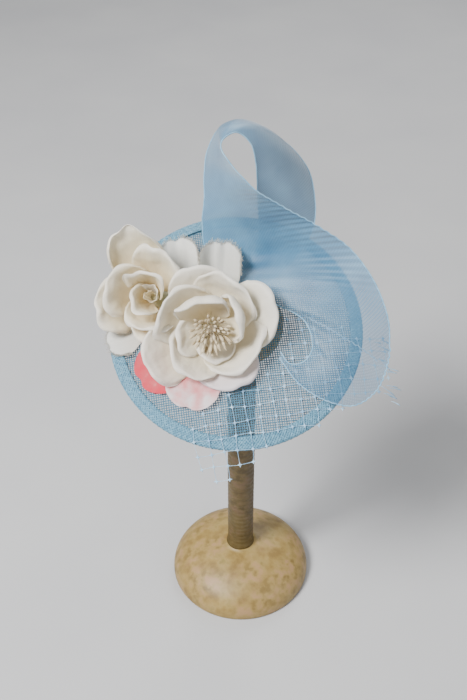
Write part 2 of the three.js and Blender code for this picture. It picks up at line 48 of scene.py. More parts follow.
HAT = {"x": -6, "y": -27, "z": 378.7, "tilt": 30}
SAUCER = {"radius": 116, "rise": 14, "wall": 1.6}
BINDING = {"inner": 106.5, "outer": 117.6, "leaf": 1.0, "gap": 0.3}
BIAS_STRAND = {"count": 250, "length": 24.0, "steps": 15, "width": 1.25, "thick": 0.26}
BIAS_LIFT = {"mean": 0.32, "weave": 0.14}
STAND = {"base_radius": 80, "skirt": 5, "base_height": 46.9, "post_radius": 14.5}
KNOB = {"radius": 40, "cut": 0.75, "rings": 29}
POST_WRAP = {"sides": 72, "steps": 190, "pitch": 6.5, "lap": 0.8, "flare": 1.6, "flare_height": 3}
WEAVE = {"pitch": 2.1, "width": 0.9, "thick": 0.3, "lift": 0.17, "turn": 7}
VEIL = {"cell": 12.5, "clearance": 1.2, "u": -37, "v": -112, "turn": 9, "slack": 0.8}
VEIL_THREAD = {"strand": 0.2, "steps": 4, "dot": 2.2, "hem": 0.45, "hem_wave": 0.7, "hem_steps": 40}
VEIL_ENDS = {"rows": range(2, 7), "each": 3, "length": (7, 13), "sag": (0, 1.2, 2.0)}
PETAL = {"wall": 0.5, "along": 34, "across": 38, "tuck": 4.3}
RIM = {"width": 4.4, "turn": 2.2, "vary": 0.9, "blend": 2.5}
CRINKLE = {"ruffle_fade": 20, "crumple": 1.1, "fine_crumple": 0.45, "pleat": 0.35}
STAMENS = {"count": 66, "length": 25, "lean": 49, "stalk": 0.34, "steps": 14}
STAMEN_DROP = {"radius": 1.1, "from": 0.66, "share": 0.34, "end": 0.15}
HEART = {"turn": 430, "start": 60, "tall": 16, "steps": 90, "rise": 16}

CAMERA = {"place": (-0.0083, -0.6987, 0.8811), "down": 38.2, "sensor": 36, "focal": 900 / 700}
FLOOR_HALF = 6.0
LIT_POINT = (0, -0.02, 0.38)
# Name, place, size and power of each light.
LIGHTS = [
    ("key_light", (-1.3, -1.1, 2.2), 0.8, 135),
    ("fill_light", (2.0, -1.2, 1.3), 1.6, 18),
    ("back_light", (0.6, 2.2, 2.0), 1.4, 30),
]
SKY = {"colour": (0.80, 0.82, 0.85, 1), "strength": 0.35}

# Crin band, one row per section from the gather, over the loop and round the swirl.
CRIN_COLUMNS = ("u1", "v1", "n1", "u2", "v2", "n2", "bulge")
CRIN_ROWS = [
    (18, 41, 13.8, 30, 39, 13.4, 0),
    (20, 62, 33, 51, 55, 26, 0),
    (21, 79, 58, 69, 79, 34, 3),
    (19, 95, 84, 74, 102, 42, 6),
    (17, 110, 108, 70, 133, 50, 9),
    (12, 120, 122, 57, 153, 58, 12),
    (1, 124, 131, 34, 169, 66, 14),
    (-9, 116, 136, 7, 177, 71, 14),
    (-13, 106, 137, -15, 169, 74, 12),
    (-7, 95, 133, -26, 146, 73, 9),
    (4, 85, 125, -29, 125, 68, 6),
    (18, 76, 115, -29, 103, 60, 4),
    (42, 69, 100, -31, 86, 46, 3),
    (70, 61, 84, -29, 69, 31, 3),
    (100, 48, 67, -19, 52, 25, 4),
    (122, 23, 53, -5, 40, 23.5, 6),
    (134, -6, 42, 13, 28, 24.5, 8),
    (136, -30, 32, 36, 12, 27, 10),
    (132, -52, 22, 58, -1, 28, 9),
    (122, -69, 14, 67, -16, 26, 8),
    (103, -79, 10, 68, -31, 21, 7),
    (79, -74, 11, 60, -41, 18, 4),
    (57, -60, 13, 48, -42, 17, 2),
    (40, -38, 16, 40, -31, 18, 0),
]
# Fine folds across the crin, their heights and the rows that they fade in and out over.
CRIN_FOLD = {"tuck": 0.5, "tuck_share": 0.45, "fold": 0.4, "ripple": 0.25}
CRIN_FADE = {"from": 10, "to": 22.5, "over": 3}
# Small scallops along the outer edge of the swirl.
CRIN_SCALLOP = {"from": 17, "to": 22.6, "share": 0.08, "depth": 1.1}
CRIN_CORD = 0.55

# Veil net: a row, and the first and last of the cells kept in it.
VEIL_ROWS = [
    (-3, 1, 1), (-2, 0, 3), (-1, 0, 4), (0, 0, 8), (1, 1, 10), (2, 3, 13),
    (3, 6, 14), (4, 7, 14), (5, 8, 14), (6, 8, 11), (7, 8, 9),
]
# Wavy upper edge of the veil, under the crin, as (u, v) on the saucer.
VEIL_EDGE = [(59, 10), (71, 3), (86, -4), (100, -13), (116, -22), (131, -31)]

BLOOM = {"u": -23, "v": -11, "n": 22.5, "front": 24, "side": 2}
BLOOM_LAYERS = {
    "inner": {"radius": 7, "height": 8, "open": 46, "spread": 10, "cup": 24, "ruffle": 1.4},
    "middle": {"radius": 10, "height": 5, "open": 50, "spread": 8, "cup": 38, "ruffle": 2.0},
    "outer": {"radius": 13, "height": 2, "open": 61, "spread": 6, "cup": 21, "ruffle": 1.7},
}
# Lip is how far the tip curls out in degrees, and roll 1 turns the rim back, -1 in over the petal.
PETAL_COLUMNS = (
    "name", "layer", "azimuth", "length", "half", "lip", "flat", "roll", "lean", "phase",
)
BLOOM_PETALS = [
    ("bloom_inner_back", "inner", 112, 50, 29, -160, 4, -1, -14, 3.4),
    ("bloom_inner_right", "inner", 30, 48, 26, -160, 4, -1, -10, 1.7),
    ("bloom_inner_left", "inner", 200, 27, 21, -8, 4, 1, 13, 5.7),
    ("bloom_inner_front", "inner", 288, 24, 21, 0, 4, 1, 14, 2.3),
    ("bloom_middle_back", "middle", 67, 48, 35, 18, 6, 1, 0, 6.0),
    ("bloom_middle_left", "middle", 152, 48, 34, 18, 6, 1, 0, 3.6),
    ("bloom_middle_low", "middle", 238, 43, 32, 18, 6, 1, 0, 2.1),
    ("bloom_middle_right", "middle", 325, 46, 34, 18, 6, 1, 0, 3.5),
    ("bloom_outer_back", "outer", 105, 49, 33, 14, 8, 1, 0, 5.8),
    ("bloom_outer_right", "outer", 18, 54, 34, 14, 8, 1, 0, 4.4),
    ("bloom_outer_low", "outer", 294, 48, 33, 14, 8, 1, 0, 5.2),
    ("bloom_outer_left", "outer", 209, 59, 30, 14, 8, 1, 0, 3.6),
]
ROSE = {"u": -74, "v": 23, "n": 15, "front": 16, "side": -8}
ROSE_LAYERS = {
    "inner": {"radius": 6, "height": 8, "open": 14, "spread": 8, "cup": 8, "ruffle": 1.8},
    "middle": {"radius": 9, "height": 5, "open": 28, "spread": 10, "cup": 16, "ruffle": 2.6},
    "outer": {"radius": 12, "height": 2, "open": 46, "spread": 10, "cup": 22, "ruffle": 3.0},
}
ROSE_PETALS = [
    ("rose_inner_back", "inner", 95, 42, 21, -50, 1, 1, 0, 3.9),
    ("rose_inner_front", "inner", 235, 36, 19, -8, 1, 1, 0, 0.9),
    ("rose_middle_back", "middle", 72, 50, 27, 30, 3, 1, 0, 5.2),
    ("rose_middle_left", "middle", 165, 48, 27, 30, 3, 1, 0, 4.0),
    ("rose_middle_front", "middle", 262, 42, 24, 30, 3, 1, 0, 4.1),
    ("rose_outer_back", "outer", 108, 64, 30, 10, 5, -1, 0, 1.9),
    ("rose_outer_left", "outer", 189, 48, 29, 24, 5, 1, 0, 4.8),
    ("rose_outer_front", "outer", 272, 38, 26, 24, 5, 1, 0, 3.3),
]

LOOSE_COLUMNS = (
    "name", "slot", "u", "v", "heading", "length", "half", "root_lift", "tip_lift", "cup",
)
LOOSE_PETALS = [
    ("pink_petal_left", "pink", -32, -26, 205, 64, 27, 1.1, 2.2, 1),
    ("pink_petal_front", "pink", -28, -34, 249, 52, 26, 2.2, 4.2, 1),
    ("frayed_petal_left", "frayed", -84, -8, 198, 36, 17, 1.1, 4, 2),
    ("frayed_petal_back", "frayed", -50, 30, 96, 56, 19, 1.1, 11, 3),
    ("frayed_petal_top", "frayed", -18, 12, 84, 53, 20, 1.1, 38, 2),
]

HAT_FRAME = Matrix.Translation((HAT["x"], HAT["y"], HAT["z"])) @ Matrix.Rotation(
    math.radians(HAT["tilt"]), 4, "X"
)


def rows_of(table, columns):
    return [dict(zip(columns, row)) for row in table]


def to_world(point):
    """A point of the hat's frame, in metres in the world."""
    return (HAT_FRAME @ point) * MM


def clamped(value):
    return max(0.0, min(1.0, value))


def circle(radius, height, sides):
    """A level ring of points."""
    angles = [2 * math.pi * k / sides for k in range(sides)]
    return [Vector((radius * math.cos(a), radius * math.sin(a), height)) for a in angles]


# Materials


def new_material(name):
    mat = bpy.data.materials.new(name)
    mat.use_nodes = True
    tree = mat.node_tree
    tree.nodes.clear()
    out = tree.nodes.new("ShaderNodeOutputMaterial")
    shader = tree.nodes.new("ShaderNodeBsdfPrincipled")
    tree.links.new(shader.outputs["BSDF"], out.inputs["Surface"])
    return mat, tree, shader


def add(tree, kind, **values):
    """A node with its inputs or properties set by name."""
    node = tree.nodes.new(kind)
    for key, value in values.items():
        if key in node.inputs:
            node.inputs[key].default_value = value
        else:
            setattr(node, key, value)
    return node


def ramp(tree, source, stops):
    """A colour ramp over a 0 to 1 value."""
    node = tree.nodes.new("ShaderNodeValToRGB")
    while len(node.color_ramp.elements) < len(stops):
        node.color_ramp.elements.new(0.5)
    for element, (place, colour) in zip(node.color_ramp.elements, stops):
        element.position = place
        element.color = (*colour, 1)
    tree.links.new(source, node.inputs["Fac"])
    return node.outputs["Color"]


def noise(tree, scale, detail=3.0, space="Object", stretch=None):
    where = tree.nodes.new("ShaderNodeTexCoord").outputs[space]
    if stretch:
        mapping = add(tree, "ShaderNodeMapping", Scale=stretch)
        tree.links.new(where, mapping.inputs["Vector"])
        where = mapping.outputs["Vector"]
    node = add(tree, "ShaderNodeTexNoise", Scale=scale, Detail=detail)
    tree.links.new(where, node.inputs["Vector"])
    return node.outputs["Fac"]


def uv_axis(tree, axis):
    split = tree.nodes.new("ShaderNodeSeparateXYZ")
    tree.links.new(tree.nodes.new("ShaderNodeTexCoord").outputs["UV"], split.inputs[0])
    return split.outputs[axis]


def bands(tree, per_unit, angle):
    """Even stripes across the UV plane, 0 to 1, turned by an angle in degrees."""
    mapping = add(tree, "ShaderNodeMapping", Rotation=(0, 0, math.radians(angle)))
    tree.links.new(tree.nodes.new("ShaderNodeTexCoord").outputs["UV"], mapping.inputs["Vector"])
    node = add(tree, "ShaderNodeTexWave", Scale=per_unit * math.pi / 10, Distortion=0.4)
    tree.links.new(mapping.outputs["Vector"], node.inputs["Vector"])
    return node.outputs["Fac"]


def bump(tree, shader, height, strength, distance):
    node = add(tree, "ShaderNodeBump", Strength=strength, Distance=distance)
    tree.links.new(height, node.inputs["Height"])
    tree.links.new(node.outputs["Normal"], shader.inputs["Normal"])


def joined(tree, a, b, operation):
    node = add(tree, "ShaderNodeMath", operation=operation)
    tree.links.new(a, node.inputs[0])
    tree.links.new(b, node.inputs[1])
    return node.outputs[0]


def surface(tree, shader, colour, rough, sheen=0.0):
    tree.links.new(colour, shader.inputs["Base Color"])
    shader.inputs["Roughness"].default_value = rough
    shader.inputs["Sheen Weight"].default_value = sheen


def straw(name, dark, light):
    """Dyed straw fibre: colour that varies along the strands and a fine grain."""
    mat, tree, shader = new_material(name)
    colour = ramp(tree, noise(tree, 420), [(0.3, dark), (0.7, light)])
    surface(tree, shader, colour, 0.55, 0.25)
    bump(tree, shader, noise(tree, 2600), 0.5, 0.0002)
    return mat


def silk(name, root, middle, edge, patch=None):
    """Stiffened silk: colour from root to edge, lengthwise veins, crinkles and light through it.

    In the ivory, rose, lilac and raw silks the darker, warmer root is partly the silk's tint and
    partly painted shade deep in the cup, and the paler edge is a painted highlight on the rims.

    A patch is the scale of a noise that breaks the colour up into blotches.
    """
    mat, tree, shader = new_material(name)
    place = uv_axis(tree, "Y")
    if patch:
        spread = add(tree, "ShaderNodeMath", operation="MULTIPLY_ADD")
        spread.inputs[1].default_value = 1.6
        spread.inputs[2].default_value = -0.8
        tree.links.new(noise(tree, patch, 3.0), spread.inputs[0])
        place = joined(tree, place, spread.outputs[0], "ADD")
    # For the pale silks this ramp paints shade at the root and a highlight at the edge.
    colour = ramp(tree, place, [(0.0, root), (0.5, middle), (0.95, edge)])
    surface(tree, shader, colour, 0.6, 0.2)
    veins = noise(tree, 22, 2.0, "UV", (1.0, 0.1, 1.0))
    crinkle = joined(tree, veins, noise(tree, 170, 4.0), "ADD")
    bump(tree, shader, crinkle, 0.32, 0.0015)
    glow = add(tree, "ShaderNodeBsdfTranslucent")
    tree.links.new(colour, glow.inputs["Color"])
    mix = add(tree, "ShaderNodeMixShader", Fac=0.38)
    tree.links.new(shader.outputs["BSDF"], mix.inputs[1])
    tree.links.new(glow.outputs["BSDF"], mix.inputs[2])
    out = next(n for n in tree.nodes if n.type == "OUTPUT_MATERIAL")
    tree.links.new(mix.outputs["Shader"], out.inputs["Surface"])
    return mat


def mesh_band(name, deep, pale, alpha_range, thin_range):
    """Translucent crin: crossed threads that let light through the gaps between them.

    The alpha range runs from gap to thread. The band grows half as dense over the thin range of
    its length, in units of 100 mm.
    """
    mat, tree, shader = new_material(name)
    colour = ramp(tree, noise(tree, 30), [(0.3, deep), (0.7, pale)])
    surface(tree, shader, colour, 0.35, 0.3)
    cross = joined(tree, bands(tree, 55, 38), bands(tree, 55, -38), "MAXIMUM")
    dense = {"To Min": alpha_range[0], "To Max": alpha_range[1]}
    spread = add(tree, "ShaderNodeMapRange", **dense)
    tree.links.new(cross, spread.inputs["Value"])
    thin = {"From Min": thin_range[0], "From Max": thin_range[1], "To Min": 1.0, "To Max": 0.5}
    thinner = add(tree, "ShaderNodeMapRange", **thin)
    tree.links.new(uv_axis(tree, "X"), thinner.inputs["Value"])
    alpha = joined(tree, spread.outputs["Result"], thinner.outputs["Result"], "MULTIPLY")
    tree.links.new(alpha, shader.inputs["Alpha"])
    bump(tree, shader, cross, 0.3, 0.0004)
    return mat


def thread(name, dark, light):
    """Spun thread or plain cloth: mottled colour and a fine grain."""
    mat, tree, shader = new_material(name)
    colour = ramp(tree, noise(tree, 160), [(0.3, dark), (0.7, light)])
    surface(tree, shader, colour, 0.6, 0.3)
    bump(tree, shader, noise(tree, 1500), 0.4, 0.0002)
    return mat


def printed(name, shade):
    """Mottled tan covering with brown, olive and rosy blotches."""
    mat, tree, shader = new_material(name)
    ground = [
        (0.34, (0.40, 0.25, 0.065)),
        (0.46, (0.54, 0.36, 0.10)),
        (0.56, (0.64, 0.45, 0.15)),
        (0.68, (0.46, 0.36, 0.09)),
    ]
    spots = [
        (0.38, (0.66, 0.40, 0.18)),
        (0.50, (0.56, 0.38, 0.12)),
        (0.64, (0.36, 0.23, 0.06)),
    ]

    def shaded(stops):
        return [(place, [part * shade for part in colour]) for place, colour in stops]

    mix = add(tree, "ShaderNodeMix", data_type="RGBA")
    patches = ramp(tree, noise(tree, 30, 3.0), [(0.4, (0, 0, 0)), (0.6, (1, 1, 1))])
    tree.links.new(patches, mix.inputs["Factor"])
    tree.links.new(ramp(tree, noise(tree, 60, 6.0), shaded(ground)), mix.inputs["A"])
    tree.links.new(ramp(tree, noise(tree, 110, 4.0), shaded(spots)), mix.inputs["B"])
    surface(tree, shader, mix.outputs["Result"], 0.5)
    bump(tree, shader, noise(tree, 240, 4.0), 0.25, 0.0006)
    return mat


def clear_plastic(name):
    mat, tree, shader = new_material(name)
    colour = ramp(tree, noise(tree, 60), [(0.3, (0.62, 0.68, 0.70)), (0.7, (0.78, 0.82, 0.84))])
    surface(tree, shader, colour, 0.2)
    shader.inputs["Transmission Weight"].default_value = 0.5
    bump(tree, shader, noise(tree, 700), 0.1, 0.0001)
    return mat


def floor_paint(name):
    mat, tree, shader = new_material(name)
    colour = ramp(tree, noise(tree, 4), [(0.3, (0.50, 0.50, 0.51)), (0.7, (0.54, 0.54, 0.54))])
    surface(tree, shader, colour, 0.8)
    return mat


SINAMAY = straw("sinamay_straw", (0.022, 0.10, 0.165), (0.085, 0.23, 0.33))
BIAS = straw("bias_straw", (0.055, 0.19, 0.29), (0.17, 0.38, 0.51))
CRIN = mesh_band("crin_mesh", (0.045, 0.165, 0.30), (0.10, 0.27, 0.43), (0.66, 0.95), (3.2, 4.2))
SELVAGE = thread("crin_selvage", (0.14, 0.36, 0.55), (0.28, 0.52, 0.70))
NET = thread("veil_thread", (0.22, 0.45, 0.70), (0.52, 0.74, 0.90))
# The pale silks below carry painted shade at the root and a painted highlight at the edge.
IVORY = silk("ivory_silk", (0.84, 0.74, 0.50), (0.93, 0.88, 0.76), (0.96, 0.93, 0.87))
ROSE_SILK = silk("rose_silk", (0.82, 0.68, 0.40), (0.92, 0.85, 0.67), (0.96, 0.93, 0.86))
# Lilac copy of the ivory silk for the bloom's lowest petal, its greyer tone partly painted shade.
LILAC_AND_SHADE = silk("lilac_and_shade_silk", (0.86, 0.74, 0.60), (0.90, 0.82, 0.80), (0.91, 0.85, 0.87))
CORAL = silk("coral_silk", (0.86, 0.40, 0.38), (0.80, 0.10, 0.13), (0.82, 0.045, 0.085), patch=95)
BLUSH = silk("blush_silk", (0.80, 0.08, 0.11), (0.88, 0.46, 0.46), (0.92, 0.84, 0.84), patch=80)
RAW_SILK = silk("raw_silk", (0.74, 0.71, 0.63), (0.84, 0.83, 0.78), (0.90, 0.90, 0.87))
STAMEN = thread("stamen_thread", (0.36, 0.27, 0.14), (0.74, 0.64, 0.45))
CALYX = thread("calyx_cloth", (0.42, 0.40, 0.22), (0.62, 0.57, 0.38))
PRINT = printed("stand_print", 0.56)
WRAP = printed("post_wrap", 0.17)
PLASTIC = clear_plastic("comb_plastic")

# Mesh building


def placed(name, data):
    obj = bpy.data.objects.new(name, data)
    bpy.context.collection.objects.link(obj)
    return obj


def piece(name, points, faces, material, nodes=(), uvs=None):
    """A smooth mesh on the root body, standing for the solids that it names."""
    mesh = bpy.data.meshes.new(name)
    mesh.from_pydata([tuple(p) for p in points], [], faces)
    mesh.polygons.foreach_set("use_smooth", [True] * len(mesh.polygons))
    if uvs:
        layer = mesh.uv_layers.new(name="UVMap")
        flat = []
        for loop in mesh.loops:
            flat.extend(uvs[loop.vertex_index])
        layer.data.foreach_set("uv", flat)
    mesh.materials.append(material)
    mesh.update()
    obj = placed(name, mesh)
    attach(obj, "root")
    if nodes:
        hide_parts(*nodes)
    return obj


class Build:
    """Collects the points and faces of one piece."""

    def __init__(self):
        self.points = []
        self.faces = []

    def loft(self, rings):
        """Joins rings of points that have one count into a closed skin."""
        start = len(self.points)
        count = len(rings[0])
        for ring in rings:
            self.points.extend(ring)
        for i in range(len(rings) - 1):
            for k in range(count):
                a = start + i * count + k
                b = start + i * count + (k + 1) % count
                self.faces.append((a, b, b + count, a + count))
        self.faces.append(tuple(start + k for k in reversed(range(count))))
        last = start + (len(rings) - 1) * count
        self.faces.append(tuple(last + k for k in range(count)))

    def ribbon(self, path, normals, width, thick):
        """A flat strand along a path."""
        rings = []
        for i, point in enumerate(path):
            ahead = path[min(i + 1, len(path) - 1)] - path[max(i - 1, 0)]
            side = ahead.cross(normals[i]).normalized() * (width / 2)
            up = normals[i] * (thick / 2)
            ring = [point - side - up, point + side - up, point + side + up, point - side + up]
            rings.append(ring)
        self.loft(rings)

    def tube(self, path, radius, sides=5):
        """A round strand along a path; radius is a number or one per point."""
        rings = []
        guide = Vector((0.31, 0.23, 0.92))
        for i, point in enumerate(path):
            ahead = (path[min(i + 1, len(path) - 1)] - path[max(i - 1, 0)]).normalized()
            guide = guide - ahead * guide.dot(ahead)
            if guide.length < 1e-6:
                guide = ahead.orthogonal()
            guide = guide.normalized()
            other = ahead.cross(guide)
            r = radius[i] if isinstance(radius, (list, tuple)) else radius
            ring = []
            for k in range(sides):
                angle = 2 * math.pi * k / sides
                ring.append(point + (guide * math.cos(angle) + other * math.sin(angle)) * r)
            rings.append(ring)
        self.loft(rings)

    def in_hat(self):
        return [to_world(p) for p in self.points]

    def in_row(self):
        return [p * MM for p in self.points]


def grid_normals(grid):
    rows, columns = len(grid), len(grid[0])
    normals = []
    for i in range(rows):
        line = []
        for j in range(columns):
            along = grid[min(i + 1, rows - 1)][j] - grid[max(i - 1, 0)][j]
            across = grid[i][min(j + 1, columns - 1)] - grid[i][max(j - 1, 0)]
            line.append(along.cross(across).normalized())
        normals.append(line)
    return normals


def shell(grid, wall):
    """A closed thin wall about a grid of mid-surface points: points, faces and UVs."""
    rows, columns = len(grid), len(grid[0])
    normals = grid_normals(grid)
    points, uvs, faces = [], [], []
    for side in (0.5, -0.5):
        for i in range(rows):
            for j in range(columns):
                points.append(grid[i][j] + normals[i][j] * (wall * side))
                uvs.append((j / (columns - 1), i / (rows - 1)))
    size = rows * columns
    for i in range(rows - 1):
        for j in range(columns - 1):
            a = i * columns + j
            b = a + columns
            faces.append((a, b, b + 1, a + 1))
            faces.append((size + a, size + a + 1, size + b + 1, size + b))
    for i in range(rows - 1):
        a = i * columns
        b = a + columns
        faces.append((a, size + a, size + b, b))
        a, b = a + columns - 1, b + columns - 1
        faces.append((a, b, size + b, size + a))
    for j in range(columns - 1):
        faces.append((j, j + 1, size + j + 1, size + j))
        a = (rows - 1) * columns + j
        faces.append((a, size + a, size + a + 1, a + 1))
    return points, faces, uvs


def catmull(values, place):
    """A smooth value at a place along a list, in steps of one."""
    k = min(int(place), len(values) - 2)
    t = place - k
    p1, p2 = values[k], values[k + 1]
    p0 = values[k - 1] if k else p1 * 2 - p2
    p3 = values[k + 2] if k + 2 < len(values) else p2 * 2 - p1
    return (
        p1 * 2
        + (p2 - p0) * t
        + (p0 * 2 - p1 * 5 + p2 * 4 - p3) * (t * t)
        + (p1 * 3 - p0 - p2 * 3 + p3) * (t * t * t)
    ) * 0.5


def saucer_height(u, v):
    share = math.hypot(u, v) / SAUCER["radius"]
    return SAUCER["rise"] * (1 - share * share)


def saucer_normal(u, v):
    slope = 2 * SAUCER["rise"] / SAUCER["radius"] ** 2
    return Vector((u * slope, v * slope, 1)).normalized()


# Saucer: straw strands, over and under each other


def build_saucer():
    strands = Build()
    pitch = WEAVE["pitch"]
    reach = SAUCER["radius"] - 0.6
    count = int(reach / pitch)
    turn = math.radians(WEAVE["turn"])
    cos, sin = math.cos(turn), math.sin(turn)
    for family in (0, 1):
        for k in range(-count, count + 1):
            fixed = k * pitch + RNG.uniform(-0.16, 0.16)
            half = math.sqrt(max(reach * reach - fixed * fixed, 0))
            steps = int(half / pitch)
            if steps < 2:
                continue
            path, normals = [], []
            for i in range(-steps, steps + 1):
                moving = i * pitch
                a, b = (moving, fixed) if family == 0 else (fixed, moving)
                u, v = a * cos - b * sin, a * sin + b * cos
                over = 1 if (i + k + family) % 2 else -1
                path.append(Vector((u, v, saucer_height(u, v) + over * WEAVE["lift"])))
                normals.append(saucer_normal(u, v))
            strands.ribbon(path, normals, WEAVE["width"] * RNG.uniform(0.82, 1.2), WEAVE["thick"])
    piece("saucer_weave", strands.in_hat(), strands.faces, SINAMAY, ["saucer"])


# Edge binding: a folded channel with bias strands on it


def binding_section(share):
    """A point of the channel's outer face: 0 at the upper inner edge, 1 at the lower one."""
    inner, lip = BINDING["inner"], SAUCER["radius"] + BINDING["gap"]
    off = SAUCER["wall"] / 2 + BINDING["gap"] + BINDING["leaf"] * 0.6
    flat = lip - inner
    bend = math.pi * off / 2
    total = 2 * flat + 2 * bend
    run = share * total
    if run < flat:
        radius = inner + run
        return radius, saucer_height(radius, 0) + off
    if run < flat + 2 * bend:
        angle = math.pi * (run - flat) / (2 * bend)
        return lip + off * 0.85 * math.sin(angle), saucer_height(lip, 0) + off * math.cos(angle)
    radius = lip - (run - flat - 2 * bend)
    return radius, saucer_height(radius, 0) - off


def binding_point(angle, share, lift=0.0):
    """A point at a lift off the channel's outer face, and the face's normal there."""
    radius, height = binding_section(share)
    ahead = binding_section(min(share + 0.01, 1.0))
    back = binding_section(max(share - 0.01, 0.0))
    normal = Vector((-(ahead[1] - back[1]), ahead[0] - back[0])).normalized()
    radius += normal.x * lift
    height += normal.y * lift
    point = Vector((radius * math.cos(angle), radius * math.sin(angle), height))
    return point, Vector((normal.x * math.cos(angle), normal.x * math.sin(angle), normal.y))


def build_binding():
    around, sections, wall = 220, 18, 0.35
    shares = [j / sections for j in range(sections + 1)]
    band = Build()
    for i in range(around):
        angle = 2 * math.pi * i / around
        outer = [binding_point(angle, share)[0] for share in shares]
        inner = [binding_point(angle, share, -wall)[0] for share in shares]
        band.points.extend(outer + inner[::-1])
    count = 2 * len(shares)
    for i in range(around):
        here, ahead = i * count, (i + 1) % around * count
        for k in range(count):
            after = (k + 1) % count
            band.faces.append((here + k, ahead + k, ahead + after, here + after))
    piece("binding_band", band.in_hat(), band.faces, BIAS, ["edge_binding"])

    strands = Build()
    turns, steps = BIAS_STRAND["count"], BIAS_STRAND["steps"]
    sweep = BIAS_STRAND["length"] / SAUCER["radius"]
    for lean in (1, -1):
        for k in range(turns):
            start = 2 * math.pi * k / turns + RNG.uniform(-0.002, 0.002)
            path, normals = [], []
            for i in range(steps + 1):
                share = i / steps
                over = 1 if (i + k + (lean > 0)) % 2 else -1
                lift = BIAS_LIFT["mean"] + over * BIAS_LIFT["weave"]
                point, normal = binding_point(start + lean * sweep * share, share, lift)
                path.append(point)
                normals.append(normal)
            width = BIAS_STRAND["width"] * RNG.uniform(0.85, 1.15)
            strands.ribbon(path, normals, width, BIAS_STRAND["thick"])
    piece("binding_weave", strands.in_hat(), strands.faces, BIAS)


# Crin band


def build_crin():
    rows = rows_of(CRIN_ROWS, CRIN_COLUMNS)
    near = [Vector((r["u1"], r["v1"], r["n1"])) for r in rows]
    far = [Vector((r["u2"], r["v2"], r["n2"])) for r in rows]
    bulge = [r["bulge"] for r in rows]
    per_row, columns = 24, 44
    steps = (len(near) - 1) * per_row
    plain = []
    for i in range(steps + 1):
        place = i / per_row
        first, last, lift = catmull(near, place), catmull(far, place), catmull(bulge, place)
        line = []
        for j in range(columns + 1):
            share = j / columns
            point = first.lerp(last, share)
            point.z += lift * 4 * share * (1 - share)
            line.append(point)
        plain.append(line)
    normals = grid_normals(plain)
    travel = [0.0]
    for i in range(steps):
        travel.append(travel[-1] + (plain[i + 1][columns // 2] - plain[i][columns // 2]).length)

    grid, uvs, faces = [], [], []
    for i in range(steps + 1):
        place = i / per_row
        fan = clamped((place - CRIN_FADE["from"]) / CRIN_FADE["over"])
        fan *= clamped((CRIN_FADE["to"] - place) / CRIN_FADE["over"])
        wide = (plain[i][-1] - plain[i][0]).length
        outward = (plain[i][0] - plain[i][1]).normalized()
        scalloped = CRIN_SCALLOP["from"] < place < CRIN_SCALLOP["to"]
        line = []
        for j in range(columns + 1):
            share = j / columns
            tuck = CRIN_FOLD["tuck"] * math.sin(place * 27)
            tuck *= max(0.0, 1 - share / CRIN_FOLD["tuck_share"])
            fold = CRIN_FOLD["fold"] * math.sin(place * 8.3 + 0.7) * share * share
            ripple = CRIN_FOLD["ripple"] * math.sin(place * 5.0 + share * 3)
            pinch = math.sin(math.pi * min(max(share, 0.02), 0.98)) ** 0.3
            shift = normals[i][j] * (fan * (tuck + fold * pinch) + ripple * pinch)
            if scalloped and share < CRIN_SCALLOP["share"]:
                depth = CRIN_SCALLOP["depth"] * abs(math.sin(place * 14))
                shift = shift + outward * (depth * (1 - share / CRIN_SCALLOP["share"]))
            line.append(plain[i][j] + shift)
            uvs.append((travel[i] / 100, (share - 0.5) * wide / 100))
        grid.append(line)
    width = columns + 1
    for i in range(steps):
        for j in range(columns):
            a = i * width + j
            faces.append((a, a + width, a + width + 1, a + 1))
    points = [to_world(p) for line in grid for p in line]
    band = piece("crin_sheet", points, faces, CRIN, ["crin_band"], uvs)
    cords = Build()
    for j in (0, columns):
        cords.tube([line[j] for line in grid], CRIN_CORD, 6)
    edges = piece("crin_edges", cords.in_hat(), cords.faces, SELVAGE)


# Veil


def veil_point(u, v):
    """A point of the net: over the saucer, up over its binding, and hanging past the rim."""
    reach = math.hypot(u, v)
    edge = BINDING["outer"] + VEIL["clearance"]
    start, end = BINDING["inner"] - VEIL["cell"], BINDING["inner"] - 2
    near_rim = clamped((reach - start) / (end - start))
    near_rim = near_rim * near_rim * (3 - 2 * near_rim)
    lift = SAUCER["wall"] / 2 + VEIL["clearance"] + near_rim * (BINDING["leaf"] + BINDING["gap"])
    if reach <= edge:
        return Vector((u, v, saucer_height(u, v) + lift))
    radial = Vector((u / reach, v / reach, 0))
    tilt = math.radians(HAT["tilt"])
    down = Vector((0, -math.sin(tilt), -math.cos(tilt)))
    droop = 0.55 - 0.35 * radial.x
    hang = (radial * (1 - droop) + down * droop).normalized()
    rim = radial * edge
    rim.z = saucer_height(edge, 0) + lift
    return rim + hang * (reach - edge)


def veil_node(i, j):
    """A point of the slack, turned net at a place counted in cells."""
    turn = math.radians(VEIL["turn"])
    a = i * VEIL["cell"] + VEIL["slack"] * math.sin(2.1 * i + 1.3 * j)
    b = j * VEIL["cell"] + VEIL["slack"] * math.cos(1.7 * i - 2.3 * j)
    u = VEIL["u"] + a * math.cos(turn) - b * math.sin(turn)
    v = VEIL["v"] + a * math.sin(turn) + b * math.cos(turn)
    return veil_point(u, v)


